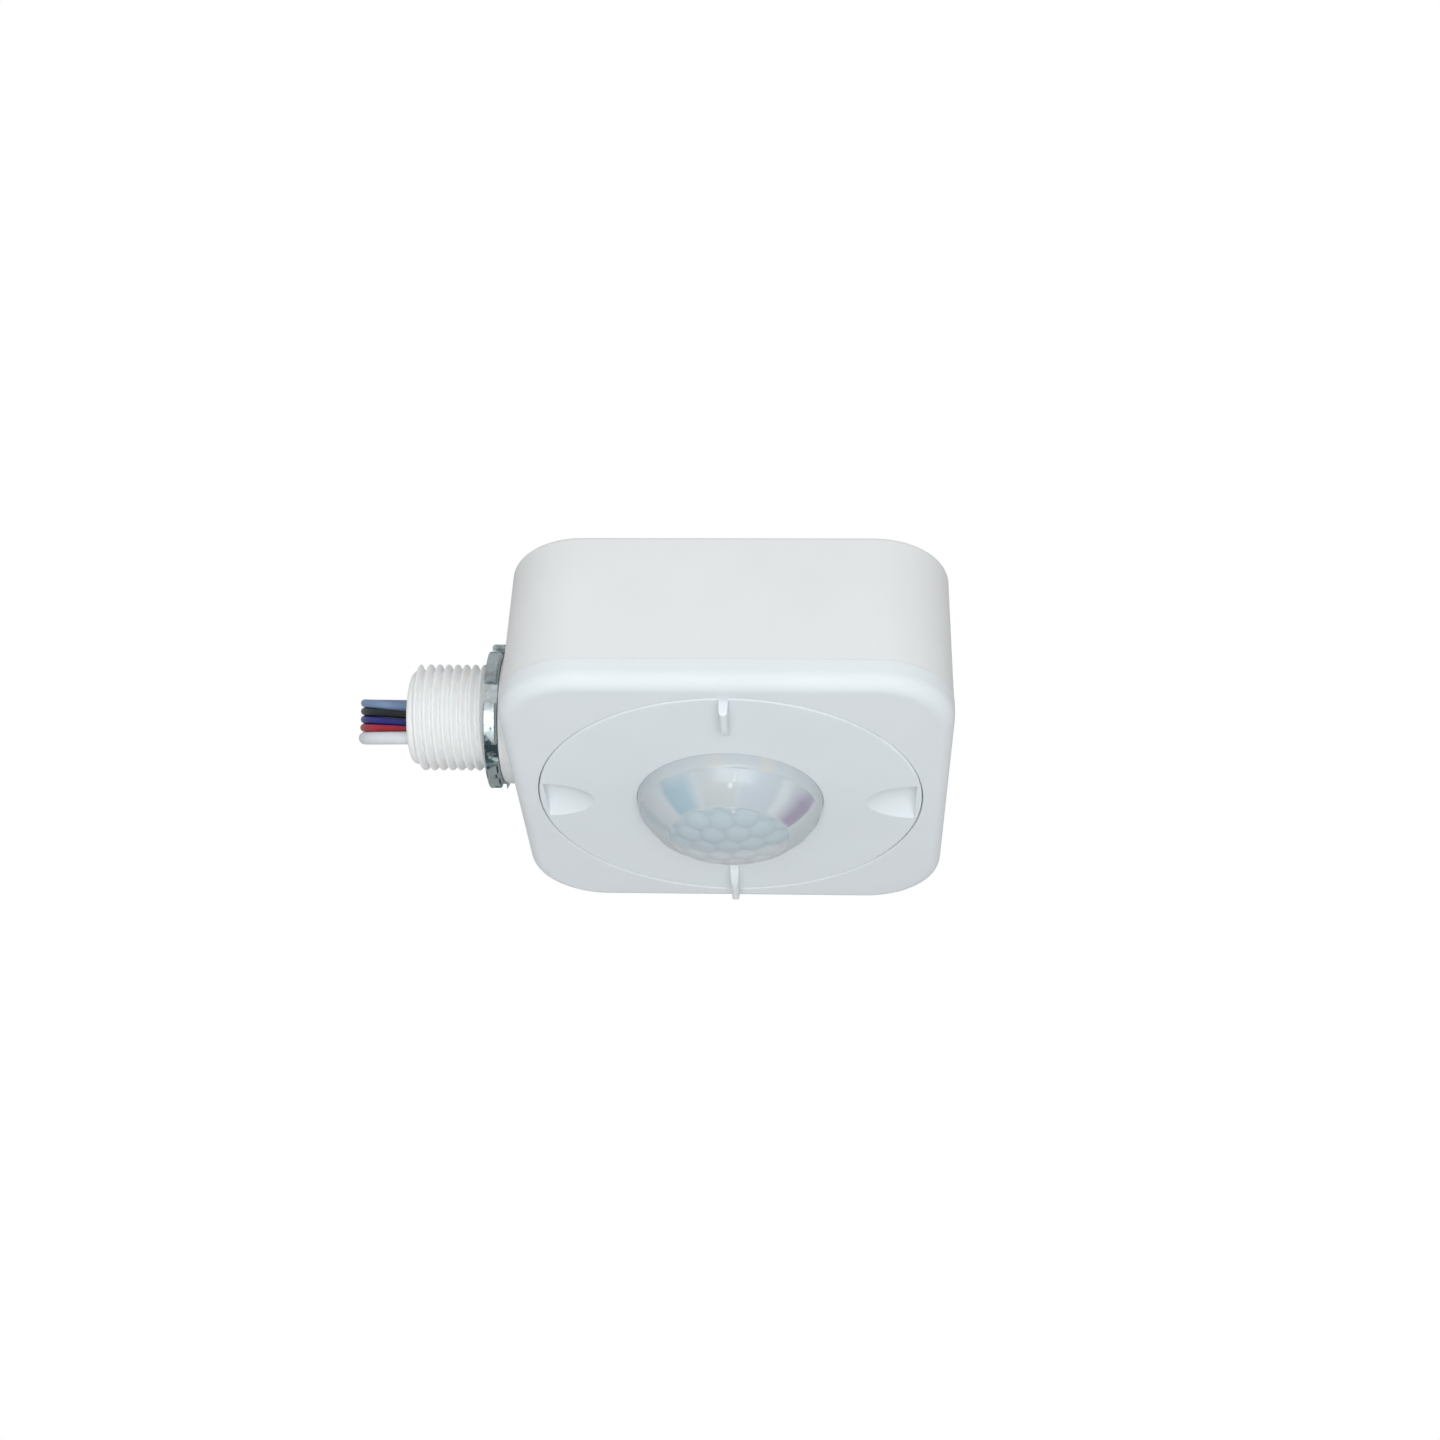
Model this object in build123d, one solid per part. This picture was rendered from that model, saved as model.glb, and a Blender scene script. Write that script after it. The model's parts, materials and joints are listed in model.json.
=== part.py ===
"""Fixture-mount infrared motion sensor: a square box held by a threaded nipple in its side,
with a twist-out Fresnel lens facing down and five flying leads.

Millimetres, +Z up. The origin is on the nipple's axis, on the shoulder face that meets the
fixture's wall. The nipple points to -X and the lens faces -Z.
"""
from build123d import *
from math import cos, pi, radians, sin, sqrt, tan
import os

# ---------------------------------------------------------------- driving dimensions
body_size = 84.5            # square outline of the front cover
body_height = 33.0          # lens face to back
cover_height = 5.5          # lens face to seam
corner_radius = 15.2
cover_edge_radius = 2.9
back_edge_radius = 0.8
housing_inset = 0.1         # the housing stands back from the cover at the seam
housing_draft = 0.75        # degrees
cover_wall = 2.2
housing_wall = 2.4

axis_height = 18.8          # nipple axis above the lens face
shoulder_projection = 2.5   # shoulder face beyond the housing's wall at the axis
shoulder_radius = 13.2
nipple_length = 19.5
nipple_bore_radius = 7.4
thread_pitch = 25.4 / 14    # 1/2-14 straight pipe thread
thread_crest_radius = 10.65
thread_depth = 1.25
thread_start = 1.4          # from the shoulder
thread_end = 17.9
thread_phase = -71.0        # degrees about the nipple's axis

washer_thickness = 0.8
locknut_radius = 14.7
locknut_thickness = 2.6
locknut_notches = 7
locknut_phase = 1.9         # degrees, where the first notch lies
notch_depth = 1.5
notch_mouth = 5.4
notch_floor = 4.3
thread_clearance = 0.1

bezel_radius = 37.3
bezel_gap = 0.16
bezel_round = 0.45          # rounded edges on both sides of the bezel's gap
rim_round = 0.35
seam_round = 0.12           # rounded edges on both sides of the cover's seam
bezel_thickness = 1.8
rib_length = 10.5
rib_height = 3.2
rib_foot = 0.92             # half widths
rib_crest = 0.7
rib_rounding = 0.62
rib_ramp = 5.0              # length of the rounded inner end
rib_nose = 0.8              # and of the rounded outer end
rib_edge = 0.1              # rib's outer end inside the bezel's edge
scoop_length = 9.6
scoop_half_width = 6.2
scoop_depth = 2.5
lens_radius = 18.15
lens_height = 10.5
lens_gap = 0.06
lens_wall = 0.8

board_thickness = 1.6
sensor_board_level = 9.5    # above the lens face
power_board_level = 27.6
column_offset = 32.0        # corner screw columns from the centre

thin_lead = 1.65            # insulation diameters
thick_lead = 2.6
lead_seal_face = -13.5      # outer face of the potting in the nipple
lead_seal_length = 6.0

# ---------------------------------------------------------------- derived places
face_z = -axis_height
back_z = face_z + body_height
centre_x = shoulder_projection + body_size / 2 - 0.05
root_radius = thread_crest_radius - thread_depth
bezel_hole_radius = bezel_radius + bezel_gap
corners = [(sx * column_offset, sy * column_offset) for sx in (-1, 1) for sy in (-1, 1)]


def at(x, y, height):
    """A place on the plan: x, y from the body's centre, height above the lens face."""
    return Location((centre_x + x, y, face_z + height))


def square_slab(size, radius, height, taper=0.0):
    return extrude(RectangleRounded(size, size, radius), amount=height, taper=taper)


def disc(radius, height):
    return Cylinder(radius, height, align=(Align.CENTER, Align.CENTER, Align.MIN))


def ring(outer, inner, height):
    return disc(outer, height) - disc(inner, 3 * height).moved(Location((0, 0, -height)))


def block(length, width, height):
    return Box(length, width, height, align=(Align.CENTER, Align.CENTER, Align.MIN))


def along_nipple(shape):
    """Turn a shape built along +Z so that it points to -X from the shoulder."""
    return shape.moved(Location(Plane(origin=(0, 0, 0), x_dir=(0, 0, 1), z_dir=(-1, 0, 0))))


def sector(inner, outer, start, sweep, height):
    """A ring sector from start, counterclockwise through sweep degrees."""
    half = sweep / 2
    reach = 2 * outer
    wedge = Polygon((0, 0), (reach * cos(radians(half)), -reach * sin(radians(half))),
                    (reach * cos(radians(half)), reach * sin(radians(half))), align=None)
    arc = ring(outer, inner, height) & extrude(wedge, amount=height)
    return arc.moved(Location((0, 0, 0), (0, 0, start + half)))


# ---------------------------------------------------------------- housing and cover
lip_outer = body_size - 3.0
lip_thickness = 1.2
lip_height = 2.5
gasket_height = 1.0
column_radius = 4.5
screw_head_radius = 2.9
screw_head_height = 2.2
screw_shank_radius = 1.45
screw_pilot_radius = 1.7
screw_seat = 16.5           # height of the screw head's seat above the lens face
counterbore_radius = 3.2
cover_post_radius = 3.6
thread_profile = ((1.0, 0.06), (0.88, 0.15), (0.5, 0.27), (0.12, 0.39), (0.0, 0.46))
power_bosses = [(sx * 20.0, sy * 31.0) for sx in (-1, 1) for sy in (-1, 1)]
power_boss_radius = 3.0
small_shank_radius = 1.05
small_head_radius = 2.2


def threaded_nipple():
    """The shoulder and nipple, built along +Z from the shoulder face."""
    core = disc(root_radius, nipple_length)
    core = fillet(core.edges().group_by(Axis.Z)[-1], 1.1)
    helix = Helix(pitch=thread_pitch, height=thread_end - thread_start, radius=root_radius - 0.05)
    flank = thread_depth + 0.05
    outline = [(depth * flank, width * thread_pitch) for depth, width in thread_profile]
    mirrored = [(depth, -width) for depth, width in reversed(outline)]
    profile_plane = Plane(origin=helix @ 0, x_dir=(1, 0, 0), z_dir=helix % 0)
    profile = profile_plane * Polygon(*mirrored, *outline, align=None)
    ridge = sweep(profile, path=helix, is_frenet=True)
    ridge = ridge.moved(Location((0, 0, thread_start), (0, 0, thread_phase)))
    return core + ridge


def build_rear_housing():
    outline = body_size - 2 * housing_inset
    height = body_height - cover_height
    shell = square_slab(outline, corner_radius - housing_inset, height, housing_draft)
    shell = fillet(shell.edges().group_by(Axis.Z)[-1], back_edge_radius)
    shell = fillet(shell.edges().group_by(Axis.Z)[0], seam_round)
    shell = shell.moved(at(0, 0, cover_height))

    lower = square_slab(lip_outer + 0.2, corner_radius - 1.4, lip_height + gasket_height)
    inner_size = outline - 2 * housing_wall
    upper_height = height - lip_height - gasket_height - housing_wall
    upper = square_slab(inner_size, corner_radius - housing_wall, upper_height, housing_draft)
    shell -= lower.moved(at(0, 0, cover_height))
    shell -= upper.moved(at(0, 0, cover_height + lip_height + gasket_height - 0.001))

    inner_back = body_height - housing_wall
    column_foot = sensor_board_level + board_thickness + 0.1
    for x, y in corners:
        shell += disc(column_radius, inner_back + 0.5 - column_foot).moved(at(x, y, column_foot))
    for x, y in power_bosses:
        foot = power_board_level + board_thickness + 0.05
        shell += disc(power_boss_radius, inner_back + 0.5 - foot).moved(at(x, y, foot))

    wall_depth = shoulder_projection + 1.2
    shoulder = disc(shoulder_radius, wall_depth).moved(Location((0, 0, -wall_depth)))
    shell += along_nipple(shoulder)
    shell += along_nipple(threaded_nipple())

    bore = disc(nipple_bore_radius, nipple_length + 12).moved(Location((0, 0, -8)))
    shell -= along_nipple(bore)
    for x, y in corners:
        shell -= disc(screw_pilot_radius, 12).moved(at(x, y, column_foot - 1))
        shell -= disc(counterbore_radius, body_height).moved(at(x, y, screw_seat))
    for x, y in power_bosses:
        pilot = disc(small_shank_radius + 0.05, 1.9)
        shell -= pilot.moved(at(x, y, power_board_level + board_thickness - 0.2))
    return shell


shelf_level = 4.1           # bayonet shelf inside the cover
shelf_thickness = 1.5
shelf_inner_radius = 34.2
lug_count = 3
lug_sweep = 16.0
lug_angle = 90.0            # centre of the first lug, locked
release_turn = 25.0         # counterclockwise seen from below


def build_front_cover():
    cover = square_slab(body_size, corner_radius, cover_height)
    cover = fillet(cover.edges().group_by(Axis.Z)[0], cover_edge_radius)
    cover = fillet(cover.edges().group_by(Axis.Z)[-1], seam_round)
    cavity = square_slab(body_size - 2 * cover_wall, corner_radius - cover_wall, cover_height)
    cover -= cavity.moved(Location((0, 0, cover_wall)))

    lip = square_slab(lip_outer, corner_radius - 1.5, lip_height + 1.5)
    hollow = lip_outer - 2 * lip_thickness
    lip -= square_slab(hollow, corner_radius - 1.5 - lip_thickness, 9).moved(Location((0, 0, -1)))
    cover += lip.moved(Location((0, 0, cover_height - 1.5)))

    well_height = shelf_level + shelf_thickness
    cover += disc(bezel_hole_radius + 1.6, well_height)
    for x, y in corners:
        post = disc(cover_post_radius, sensor_board_level - 1.1)
        cover += post.moved(Location((x, y, 1.0)))
    cover -= disc(bezel_hole_radius, shelf_level + 1).moved(Location((0, 0, -1)))
    front_arcs = cover.edges().filter_by(GeomType.CIRCLE).group_by(Axis.Z)[0]
    cover = fillet(front_arcs.sort_by(SortBy.RADIUS)[-1:], rim_round)
    cover -= disc(shelf_inner_radius, 20).moved(Location((0, 0, -1)))
    for i in range(lug_count):
        locked = lug_angle + 360 / lug_count * i
        start = locked - release_turn - lug_sweep / 2 - 2
        notch = sector(shelf_inner_radius - 1, 36.0, start, lug_sweep + 4, 4)
        cover -= notch.moved(Location((0, 0, shelf_level - 1)))
        stop = sector(shelf_inner_radius + 0.3, 37.0, locked + lug_sweep / 2 + 3, 4, 1.2)
        cover += stop.moved(Location((0, 0, well_height - 0.05)))
    for x, y in corners:
        cover -= disc(screw_shank_radius + 0.05, 8).moved(Location((x, y, 2.6)))
    return cover.moved(at(0, 0, 0))


def build_cover_gasket():
    gap = 0.1
    size = lip_outer - 2 * gap
    gasket = square_slab(size, corner_radius - 1.6, gasket_height - 2 * gap)
    hole = square_slab(size - 2.2, corner_radius - 2.7, 5).moved(Location((0, 0, -1)))
    return (gasket - hole).moved(at(0, 0, cover_height + lip_height + gap))


def pan_screw(head_radius, head_height, shank_radius, shank_length):
    """A cross-recessed pan-head screw, its head seated on z = 0 and its shank pointing down."""
    head = disc(head_radius, head_height)
    head = fillet(head.edges().group_by(Axis.Z)[-1], 0.6 * head_height)
    shank = disc(shank_radius, shank_length + 0.1).moved(Location((0, 0, -shank_length)))
    shank = chamfer(shank.edges().group_by(Axis.Z)[0], 0.6 * shank_radius)
    slot = block(1.2 * head_radius, 0.3 * head_radius, head_height)
    cross = slot + slot.rotate(Axis.Z, 90)
    return head + shank - cross.moved(Location((0, 0, 0.45 * head_height)))


def build_housing_screws():
    length = screw_seat - 4.0
    screw = pan_screw(screw_head_radius, screw_head_height, screw_shank_radius, length)
    return [screw.moved(at(x, y, screw_seat + 0.05)) for x, y in corners]


# ---------------------------------------------------------------- nipple hardware
def build_sealing_washer():
    washer = ring(shoulder_radius - 0.3, thread_crest_radius + thread_clearance,
                  washer_thickness - 0.05)
    washer = fillet(washer.edges().group_by(Axis.Z)[-1], 0.15)
    return along_nipple(washer)


def build_locknut():
    nut = ring(locknut_radius, thread_crest_radius + thread_clearance, locknut_thickness)
    nut = chamfer(nut.edges().filter_by(GeomType.CIRCLE), 0.35)
    low = locknut_radius - notch_depth
    high = locknut_radius + 1
    notch = Polygon((low, -notch_floor / 2), (high, -notch_mouth / 2), (high, notch_mouth / 2),
                    (low, notch_floor / 2), align=None)
    cut = extrude(notch, amount=2 * locknut_thickness).moved(Location((0, 0, -1)))
    for i in range(locknut_notches):
        nut -= cut.rotate(Axis.Z, 360 / locknut_notches * i + locknut_phase)
    return along_nipple(nut.moved(Location((0, 0, washer_thickness))))


# ---------------------------------------------------------------- bezel and lens
skirt_outer = 32.6
skirt_inner = 30.8
skirt_top = 7.3
lens_flange_radius = 20.8
lens_flange_level = 1.9
lens_flange_thickness = 1.0
stake_radius_place = 23.2


def grip_rib():
    """A radial rib hanging below z = 0, from y = 0 back to its curved inner end."""
    section = Polygon((-rib_foot, 0), (rib_foot, 0), (rib_crest, -rib_height),
                      (-rib_crest, -rib_height), align=None)
    bar = extrude(Plane.XZ * section, amount=rib_length, both=True)
    bar = fillet(bar.edges().filter_by(Axis.Y).group_by(Axis.Z)[0], rib_rounding)
    flat_end = rib_length - rib_ramp
    profile = Pos(flat_end, 0) * Ellipse(rib_ramp, rib_height)
    profile += Pos(rib_nose, 0) * Ellipse(rib_nose, rib_height)
    profile += Pos((rib_nose + flat_end) / 2, 0) * Rectangle(flat_end - rib_nose, 2 * rib_height)
    return bar & extrude(Plane.YZ * profile, amount=2 * rib_foot, both=True)


def scoop(grow=0.0):
    """The finger recess, cut from z = 0 upward: flat outer end at x = 0, tip towards -X."""
    barrel = (scoop_half_width ** 2 + scoop_depth ** 2) / (2 * scoop_depth)
    sweep_radius = (scoop_length ** 2 + scoop_depth ** 2) / (2 * scoop_depth)

    def reach(x):
        return barrel - sweep_radius + sqrt((sweep_radius + grow) ** 2 - x * x)

    far = scoop_length + 2 * grow + 1
    curve = ThreePointArc((-far, reach(far)), (-far / 2, reach(far / 2)), (0, reach(0)))
    sides = Polyline((0, reach(0)), (grow + 0.001, reach(0)), (grow + 0.001, 0), (-far, 0),
                     (-far, reach(far)))
    shape = revolve(make_face(Curve() + [curve, sides]), Axis.X)
    shape = shape.moved(Location((0, 0, scoop_depth - barrel)))
    return shape & Box(60, 60, 20, align=(Align.CENTER, Align.CENTER, Align.MIN))


def build_lens_bezel():
    bezel = disc(bezel_radius, bezel_thickness)
    bezel = fillet(bezel.edges().group_by(Axis.Z)[0], bezel_round)
    scoop_end = bezel_radius - 1.2
    for turn in (0, 180):
        cup = scoop(0.9).moved(Location((scoop_end, 0, 0)))
        cup &= disc(bezel_radius - 0.02, 10)
        bezel += cup.rotate(Axis.Z, turn)
    bezel += ring(skirt_outer, skirt_inner, skirt_top - 1).moved(Location((0, 0, 1)))
    for i in range(lug_count):
        start = lug_angle + 360 / lug_count * i - lug_sweep / 2
        lug = sector(skirt_outer - 0.3, 35.6, start, lug_sweep, 1.45)
        bezel += lug.moved(Location((0, 0, shelf_level + shelf_thickness + 0.15)))
    for turn in (0, 180):
        recess = scoop().moved(Location((scoop_end, 0, -0.001)))
        bezel -= recess.rotate(Axis.Z, turn)
        rib = grip_rib().moved(Location((0, rib_edge - bezel_radius, 0.1)))
        bezel += rib.rotate(Axis.Z, turn)
    bezel -= disc(lens_radius + lens_gap, 10).moved(Location((0, 0, -5)))
    for i in range(lug_count):
        stake = disc(0.9, 4.6).moved(Location((0, stake_radius_place, 1)))
        bezel += stake.rotate(Axis.Z, 120 * i)
    return bezel.moved(at(0, 0, 0))


def half_ellipsoid(radius, height):
    """A solid dome below z = 0, deeper at its sides than a sphere's cap."""
    below = block(3 * radius, 3 * radius, 2 * height).moved(Location((0, 0, -2 * height)))
    return scale(Sphere(radius), by=(1, 1, height / radius)) & below


def build_fresnel_lens():
    bore = lens_radius - lens_wall
    dome = half_ellipsoid(lens_radius, lens_height) - half_ellipsoid(bore, lens_height - lens_wall)
    collar = ring(lens_radius, bore, lens_flange_level + lens_flange_thickness)
    flange = ring(lens_flange_radius, bore, lens_flange_thickness)
    lens = dome + collar + flange.moved(Location((0, 0, lens_flange_level)))
    return lens.moved(at(0, 0, 0))


def build_lens_retainer():
    retainer = ring(25.0, 18.6, 1.2)
    for i in range(lug_count):
        hole = disc(1.0, 5).moved(Location((0, stake_radius_place, -1)))
        retainer -= hole.rotate(Axis.Z, 120 * i)
    return retainer.moved(at(0, 0, lens_flange_level + lens_flange_thickness + 0.05))


def build_bezel_o_ring():
    return Torus(skirt_outer + 0.8, 0.7).moved(at(0, 0, shelf_level + 0.75))


# ---------------------------------------------------------------- sensor board, facing the lens
plate_level = 7.7
plate_thickness = 1.0
plate_radius = 36.5
dip_place = (0.0, -27.0)
dip_positions = 4
dip_pitch = 1.27
dip_length = 6.7
dip_width = 6.0
dip_height = 4.0
dip_travel = 1.2
trimmer_place = (-19.5, -18.5)
trimmer_radius = 2.9
button_place = (19.5, -18.5)
button_size = 5.0
button_travel = 0.25
photocell_place = (-9.5, 5.0)
led_place = (9.5, 5.0)
pyro_radius = 4.6
pyro_height = 4.4
chip_place = (-16.0, -4.0)
header_place = (22.0, 24.0)
header_pins = 6
header_pitch = 2.54


def build_control_plate():
    """The white plate behind the bezel, with a window for each control and sensor."""
    plate = disc(plate_radius, plate_thickness)
    plate -= disc(pyro_radius + 0.8, 5).moved(Location((0, 0, -1)))
    window = block(dip_length + 0.8, dip_width + 0.8, 5)
    plate -= window.moved(Location((*dip_place, -1)))
    plate -= disc(trimmer_radius + 0.4, 5).moved(Location((*trimmer_place, -1)))
    opening = block(button_size + 0.8, button_size + 0.8, 5)
    plate -= opening.moved(Location((*button_place, -1)))
    for place in (photocell_place, led_place):
        plate -= disc(2.9, 5).moved(Location((*place, -1)))
    rim = ring(plate_radius, plate_radius - 1.2, sensor_board_level - plate_level - 0.1)
    return (plate + rim).moved(at(0, 0, plate_level))


def build_sensor_board():
    board = square_slab(74.0, 9.0, board_thickness)
    for x, y in corners:
        board -= disc(1.8, 5).moved(Location((x, y, -1)))
    return board.moved(at(0, 0, sensor_board_level))


def build_pyro_can():
    level = sensor_board_level - pyro_height - 0.05
    can = disc(pyro_radius - 0.45, pyro_height)
    can = fillet(can.edges().group_by(Axis.Z)[0], 0.5)
    can += disc(pyro_radius, 0.5).moved(Location((0, 0, pyro_height - 0.5)))
    can -= block(4.0, 3.0, 0.6).moved(Location((0, 0, -0.1)))
    return can.moved(at(0, 0, level))


def build_pyro_window():
    level = sensor_board_level - pyro_height - 0.05
    return block(3.9, 2.9, 0.4).moved(at(0, 0, level + 0.05))


def build_photocell():
    cell = disc(2.4, 2.0)
    cell = fillet(cell.edges().group_by(Axis.Z)[0], 0.2)
    return cell.moved(at(*photocell_place, sensor_board_level - 2.05))


def build_status_led():
    led = disc(1.5, 2.6) + Sphere(1.5) + disc(1.8, 0.8).moved(Location((0, 0, 1.8)))
    return led.moved(at(*led_place, sensor_board_level - 2.65))


def build_dip_body():
    body = block(dip_length, dip_width, dip_height)
    for i in range(dip_positions):
        x = (i - (dip_positions - 1) / 2) * dip_pitch
        slot = block(0.8, 2.6, 1.4).moved(Location((x, 0, -0.1)))
        body -= slot
    return body.moved(at(*dip_place, sensor_board_level - dip_height - 0.05))


def build_dip_slider(index):
    x = (index - (dip_positions - 1) / 2) * dip_pitch
    slider = block(0.7, 1.2, 1.6)
    level = sensor_board_level - dip_height - 0.05 - 0.5
    return slider.moved(at(dip_place[0] + x, dip_place[1] - dip_travel / 2, level))


def build_trimmer_body():
    body = ring(trimmer_radius, 1.75, 2.6) + disc(trimmer_radius, 1.0).moved(Location((0, 0, 2.2)))
    return body.moved(at(*trimmer_place, sensor_board_level - 3.25))


def build_trimmer_rotor():
    rotor = disc(1.65, 1.9)
    rotor -= block(2.4, 0.6, 0.7).moved(Location((0, 0, -0.1)))
    return rotor.moved(at(*trimmer_place, sensor_board_level - 3.05))


def build_button_body():
    body = block(button_size, button_size, 2.6)
    body -= disc(1.45, 2.0).moved(Location((0, 0, -0.1)))
    return body.moved(at(*button_place, sensor_board_level - 2.65))


def build_button_plunger():
    plunger = disc(1.35, 2.6)
    plunger = fillet(plunger.edges().group_by(Axis.Z)[0], 0.3)
    return plunger.moved(at(*button_place, sensor_board_level - 3.65))


def build_signal_chip():
    body = chamfer(block(8.6, 3.9, 1.4).edges().group_by(Axis.Z)[-1], 0.3)
    level = sensor_board_level + board_thickness + 0.05
    chip = body.moved(Location((0, 0, 0.15)))
    for i in range(7):
        for side in (-1, 1):
            pin = block(0.4, 1.2, 0.4)
            chip += pin.moved(Location(((i - 3) * 1.27, side * 2.35, 0)))
    return chip.moved(at(*chip_place, level))


def build_header_body():
    low = sensor_board_level + board_thickness
    body = block(header_pins * header_pitch, 2.5, power_board_level - low - 0.1)
    for i in range(header_pins):
        x = (i - (header_pins - 1) / 2) * header_pitch
        body -= block(0.74, 0.74, 40).moved(Location((x, 0, -5)))
    return body.moved(at(*header_place, low + 0.05))


def build_header_pins():
    low = sensor_board_level + board_thickness + 0.02
    pins = []
    for i in range(header_pins):
        x = header_place[0] + (i - (header_pins - 1) / 2) * header_pitch
        pin = block(0.64, 0.64, power_board_level - low - 0.04)
        pins.append(pin.moved(at(x, header_place[1], low)))
    return pins


# ---------------------------------------------------------------- power board, parts facing down
relay_size = (29.0, 12.7, 15.7)
relay_place = (12.0, -14.0)
film_size = (18.0, 8.0, 13.5)
film_place = (-8.0, 4.0)
can_places = [(-24.0, -22.0), (-12.0, -24.0)]
can_radius = 5.0
can_height = 13.0
choke_place = (14.0, 6.0)
varistor_place = (-25.0, 24.0)
fuse_place = (-8.0, 20.0)


def build_power_board():
    board = square_slab(70.0, 6.0, board_thickness)
    for x, y in corners:
        board -= disc(column_radius + 0.6, 5).moved(Location((x, y, -1)))
    for x, y in power_bosses:
        board -= disc(small_shank_radius + 0.15, 5).moved(Location((x, y, -1)))
    return board.moved(at(0, 0, power_board_level))


def build_power_board_screws():
    screw = pan_screw(small_head_radius, 1.5, small_shank_radius, 3.2).rotate(Axis.X, 180)
    return [screw.moved(at(x, y, power_board_level - 0.05)) for x, y in power_bosses]


def hanging(shape, place, height):
    """Seat a shape of this height under the power board."""
    return shape.moved(at(*place, power_board_level - height - 0.05))


def build_relay():
    case = block(*relay_size)
    case = fillet(case.edges().filter_by(Axis.Z), 0.8)
    case = chamfer(case.edges().group_by(Axis.Z)[0], 0.4)
    return hanging(case, relay_place, relay_size[2])


def build_film_capacitor():
    case = block(*film_size)
    case = fillet(case.edges().filter_by(Axis.Z), 0.6)
    return hanging(case, film_place, film_size[2])


def build_smoothing_capacitors():
    can = disc(can_radius, can_height)
    can = fillet(can.edges().group_by(Axis.Z)[0], 0.6)
    groove = ring(can_radius + 1, can_radius - 0.35, 0.7)
    can -= groove.moved(Location((0, 0, can_height - 2.2)))
    return [hanging(can, place, can_height) for place in can_places]


def build_choke_core():
    core = disc(5.5, 1.2) + disc(2.8, 11.0) + disc(5.5, 1.2).moved(Location((0, 0, 9.8)))
    return hanging(core, choke_place, 11.0)


def build_choke_winding():
    winding = ring(4.9, 2.85, 8.5).moved(Location((0, 0, 1.25)))
    return hanging(winding, choke_place, 11.0)


def build_surge_varistor():
    puck = Cylinder(4.6, 3.6, rotation=(90, 0, 0))
    puck = fillet(puck.edges().filter_by(GeomType.CIRCLE), 0.8)
    varistor = puck.moved(Location((0, 0, 4.7)))
    for x in (-2.5, 2.5):
        varistor += disc(0.4, 5.0).moved(Location((x, 0, 6.5)))
    return hanging(varistor, varistor_place, 11.5)


def build_fuse_link():
    tube = Cylinder(1.8, 8.0, rotation=(0, 90, 0)).moved(Location((0, 0, 1.8)))
    for x in (-4.6, 4.6):
        tube += Cylinder(0.35, 1.6, rotation=(0, 90, 0)).moved(Location((x, 0, 1.8)))
        tube += disc(0.35, 2.6).moved(Location((x * 1.12, 0, 1.8)))
    return hanging(tube, fuse_place, 4.4)


# ---------------------------------------------------------------- leads
# The leads leave the nipple stacked one above another, fold back behind it, cross over the
# housing's left edge and lie side by side on its back. Each is about 152 mm long, 6 inches.
fold_up = 31.6              # degrees above level in which the fold goes back
lead_fold_x = (-31.95, -31.95, -31.95, -31.95, -31.6)
lead_names = ("gray", "black", "blue", "red", "white")
lead_diameters = (thin_lead, thin_lead, thin_lead, thin_lead, thick_lead)
lead_rise = (1.4, -0.3, -1.9, -2.85, -4.05)     # across the fold's plane, at the potting
fold_rise = (2.85, 1.17, -0.51, -2.19, -4.36)   # and in the fold, where they have fanned out
lead_back = (2.0, 1.2, 0.25, -1.15, -2.95)      # along the fold
fold_reach = (19.5, 21.4, 23.5, 25.9, 29.2)
lead_rest_y = (15.5, 18.0, 20.5, 23.0, 26.0)    # on the housing's back, past the edge
lead_swing = (-0.6, 0.0, -0.4, 0.2, 0.3)        # how far each strays on the back
lead_drop = (28.5, 26.5, 25.0, 22.5, 18.5)      # how far each turns back towards -Y
lead_tail = (17.0, 14.5, 12.0, 9.5, 6.5)        # last run, which sets each lead's length
stripped_length = 8.0
conductor_ratio = 0.55


def across(rise, back):
    """Y and Z of a point given across and along the fold's plane."""
    up = radians(fold_up)
    return back * cos(up) - rise * sin(up), back * sin(up) + rise * cos(up)


def lead_route(i):
    """The corners of one lead's route, from the potting to the end of its insulation."""
    radius = lead_diameters[i] / 2
    fold_x = lead_fold_x[i]
    start_y, start_z = across(lead_rise[i], lead_back[i])
    y0, z0 = across(fold_rise[i], lead_back[i])
    y1, z1 = across(fold_rise[i], lead_back[i] + fold_reach[i])
    rest_z = back_z + radius + 0.06
    y2 = lead_rest_y[i]
    y3 = y2 - lead_drop[i]
    fan = y2 - lead_rest_y[2]
    s = lead_swing[i]
    return [
        (lead_seal_face, start_y, start_z),
        (fold_x, y0, z0),
        (fold_x, y1, z1),
        (-14.0, y1, z1),
        (-1.5, (y1 + y2) / 2, back_z + 4.2 + radius),
        (14.0, y2, rest_z),
        (33.0 + 0.1 * fan, y2 - 1.5 + s, rest_z),
        (50.5 + 0.35 * fan, y2 - 9.0 + s, rest_z),
        (62.0 + 0.75 * fan, y3, rest_z),
        (64.5 + fan, y3 - lead_tail[i], rest_z),
    ]


def turn_angle(a, b, c):
    return (Vector(*b) - Vector(*a)).get_angle(Vector(*c) - Vector(*b))


def route_wire(points):
    """Straight runs joined by tangent arcs, each as large as its two runs allow."""
    runs = [(Vector(*b) - Vector(*a)).length for a, b in zip(points, points[1:])]
    radii = []
    for k in range(1, len(points) - 1):
        turn = turn_angle(*points[k - 1:k + 2])
        radii.append(0.45 * min(runs[k - 1], runs[k]) / tan(radians(turn / 2)))
    return FilletPolyline(*points, radius=radii), runs, radii


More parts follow.
